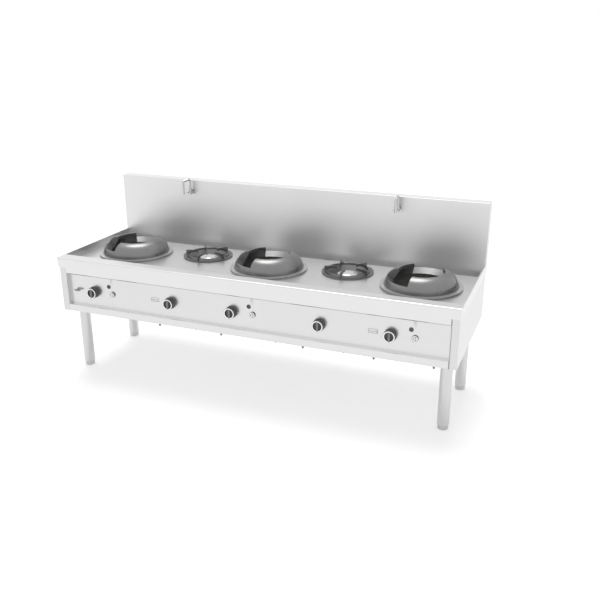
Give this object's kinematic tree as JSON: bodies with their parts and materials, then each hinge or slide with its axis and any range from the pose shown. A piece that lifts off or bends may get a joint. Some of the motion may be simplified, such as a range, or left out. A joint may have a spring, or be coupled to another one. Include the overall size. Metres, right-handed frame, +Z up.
{
  "type": "gas wok range",
  "caption": "Long free-standing stainless gas wok range with notched cast wok rings, small burners on trivets, front knobs, a tall splashback with taps, and round legs.",
  "frame": {"origin": "on the floor, in the middle of the overall width and depth, knobs included", "axes": "+X to the operator's right, +Y to the splashback at the back, +Z up"},
  "size_m": [2.8, 0.964, 1.2949],
  "materials": {
    "stainless": "fine satin",
    "polished_steel": "polished",
    "cast_iron": "sand cast, dark grey",
    "burner_iron": "machined cast iron",
    "black_plastic": "satin black",
    "chrome": "bright plated",
    "valve_brass": "turned",
    "pipe_steel": "drawn",
    "frame_steel": "welded square tube",
    "fastener_steel": "zinc plated",
    "foot_steel": "satin"
  },
  "bodies": {
    "range": {"worktop": "stainless", "splashback": "stainless", "splash_rear_cover": "stainless", "side_panel_left": "stainless", "side_panel_right": "stainless", "control_panel": "stainless", "bottom_rail": "stainless", "bottom_tray": "stainless", "back_panel": "stainless", "underframe": "frame_steel", "leg_1": "stainless", "leg_2": "stainless", "leg_3": "stainless", "leg_4": "stainless", "wok_bowl_1": "stainless", "wok_bowl_2": "stainless", "wok_bowl_3": "stainless", "wok_burner_1": "burner_iron", "wok_burner_2": "burner_iron", "wok_burner_3": "burner_iron", "drip_dish_1": "polished_steel", "drip_dish_2": "polished_steel", "small_burner_1": "polished_steel", "small_burner_2": "polished_steel", "gas_manifold": "pipe_steel", "gas_valves": "valve_brass", "gas_lines": "pipe_steel", "pilot_burners": "pipe_steel", "igniter_bodies": "chrome", "sight_tubes": "pipe_steel", "rinse_valve": "chrome", "tap_body_left": "chrome", "tap_body_right": "chrome", "water_pipe": "pipe_steel", "drain_outlet": "stainless", "panel_screws": "fastener_steel", "underside_bolts": "fastener_steel"},
    "knob_1": {"knob_1": "black_plastic"},
    "knob_2": {"knob_2": "black_plastic"},
    "knob_3": {"knob_3": "black_plastic"},
    "knob_4": {"knob_4": "black_plastic"},
    "knob_5": {"knob_5": "black_plastic"},
    "igniter_button_1": {"igniter_button_1": "chrome"},
    "igniter_button_2": {"igniter_button_2": "chrome"},
    "igniter_button_3": {"igniter_button_3": "chrome"},
    "tap_spout_left": {"tap_spout_left": "chrome"},
    "tap_lever_left": {"tap_lever_left": "chrome"},
    "tap_spout_right": {"tap_spout_right": "chrome"},
    "tap_lever_right": {"tap_lever_right": "chrome"},
    "rinse_handle": {"rinse_handle": "black_plastic"},
    "foot_1": {"foot_1": "foot_steel"},
    "foot_2": {"foot_2": "foot_steel"},
    "foot_3": {"foot_3": "foot_steel"},
    "foot_4": {"foot_4": "foot_steel"},
    "wok_ring_1": {"wok_ring_1": "cast_iron"},
    "wok_ring_2": {"wok_ring_2": "cast_iron"},
    "wok_ring_3": {"wok_ring_3": "cast_iron"},
    "trivet_1": {"trivet_1": "cast_iron"},
    "trivet_2": {"trivet_2": "cast_iron"}
  },
  "joints": [
    {"name": "knob_1_turn", "type": "hinge", "parent": "range", "child": "knob_1", "pos_m": [-1.135, -0.44, 0.62], "axis": [0, -1, 0], "range_deg": [0, 150]},
    {"name": "knob_2_turn", "type": "hinge", "parent": "range", "child": "knob_2", "pos_m": [-0.53, -0.44, 0.62], "axis": [0, -1, 0], "range_deg": [0, 150]},
    {"name": "knob_3_turn", "type": "hinge", "parent": "range", "child": "knob_3", "pos_m": [-0.075, -0.44, 0.62], "axis": [0, -1, 0], "range_deg": [0, 150]},
    {"name": "knob_4_turn", "type": "hinge", "parent": "range", "child": "knob_4", "pos_m": [0.53, -0.44, 0.62], "axis": [0, -1, 0], "range_deg": [0, 150]},
    {"name": "knob_5_turn", "type": "hinge", "parent": "range", "child": "knob_5", "pos_m": [0.985, -0.44, 0.62], "axis": [0, -1, 0], "range_deg": [0, 150]},
    {"name": "igniter_1_press", "type": "slide", "parent": "range", "child": "igniter_button_1", "axis": [0, 1, 0], "range_m": [0, 0.005], "stiffness_N_per_m": 600},
    {"name": "igniter_2_press", "type": "slide", "parent": "range", "child": "igniter_button_2", "axis": [0, 1, 0], "range_m": [0, 0.005], "stiffness_N_per_m": 600},
    {"name": "igniter_3_press", "type": "slide", "parent": "range", "child": "igniter_button_3", "axis": [0, 1, 0], "range_m": [0, 0.005], "stiffness_N_per_m": 600},
    {"name": "spout_left_swivel", "type": "hinge", "parent": "range", "child": "tap_spout_left", "pos_m": [-0.795, 0.365, 1.212], "axis": [0, 0, 1], "range_deg": [-66, 114]},
    {"name": "tap_left_turn", "type": "hinge", "parent": "range", "child": "tap_lever_left", "pos_m": [-0.795, 0.353, 1.186], "axis": [0, -1, 0], "range_deg": [0, 90]},
    {"name": "spout_right_swivel", "type": "hinge", "parent": "range", "child": "tap_spout_right", "pos_m": [0.795, 0.365, 1.212], "axis": [0, 0, 1], "range_deg": [-90, 90]},
    {"name": "tap_right_turn", "type": "hinge", "parent": "range", "child": "tap_lever_right", "pos_m": [0.795, 0.353, 1.186], "axis": [0, -1, 0], "range_deg": [0, 90]},
    {"name": "rinse_turn", "type": "hinge", "parent": "range", "child": "rinse_handle", "pos_m": [-1.262, -0.456, 0.625], "axis": [0, -1, 0], "range_deg": [0, 90]},
    {"name": "foot_1_level", "type": "slide", "parent": "range", "child": "foot_1", "axis": [0, 0, -1], "range_m": [0, 0.025]},
    {"name": "foot_2_level", "type": "slide", "parent": "range", "child": "foot_2", "axis": [0, 0, -1], "range_m": [0, 0.025]},
    {"name": "foot_3_level", "type": "slide", "parent": "range", "child": "foot_3", "axis": [0, 0, -1], "range_m": [0, 0.025]},
    {"name": "foot_4_level", "type": "slide", "parent": "range", "child": "foot_4", "axis": [0, 0, -1], "range_m": [0, 0.025]},
    {"name": "ring_1_lift", "type": "slide", "parent": "range", "child": "wok_ring_1", "axis": [0, 0, 1], "range_m": [0, 0.2]},
    {"name": "ring_2_lift", "type": "slide", "parent": "range", "child": "wok_ring_2", "axis": [0, 0, 1], "range_m": [0, 0.2]},
    {"name": "ring_3_lift", "type": "slide", "parent": "range", "child": "wok_ring_3", "axis": [0, 0, 1], "range_m": [0, 0.2]},
    {"name": "trivet_1_lift", "type": "slide", "parent": "range", "child": "trivet_1", "axis": [0, 0, 1], "range_m": [0, 0.15]},
    {"name": "trivet_2_lift", "type": "slide", "parent": "range", "child": "trivet_2", "axis": [0, 0, 1], "range_m": [0, 0.15]}
  ]
}
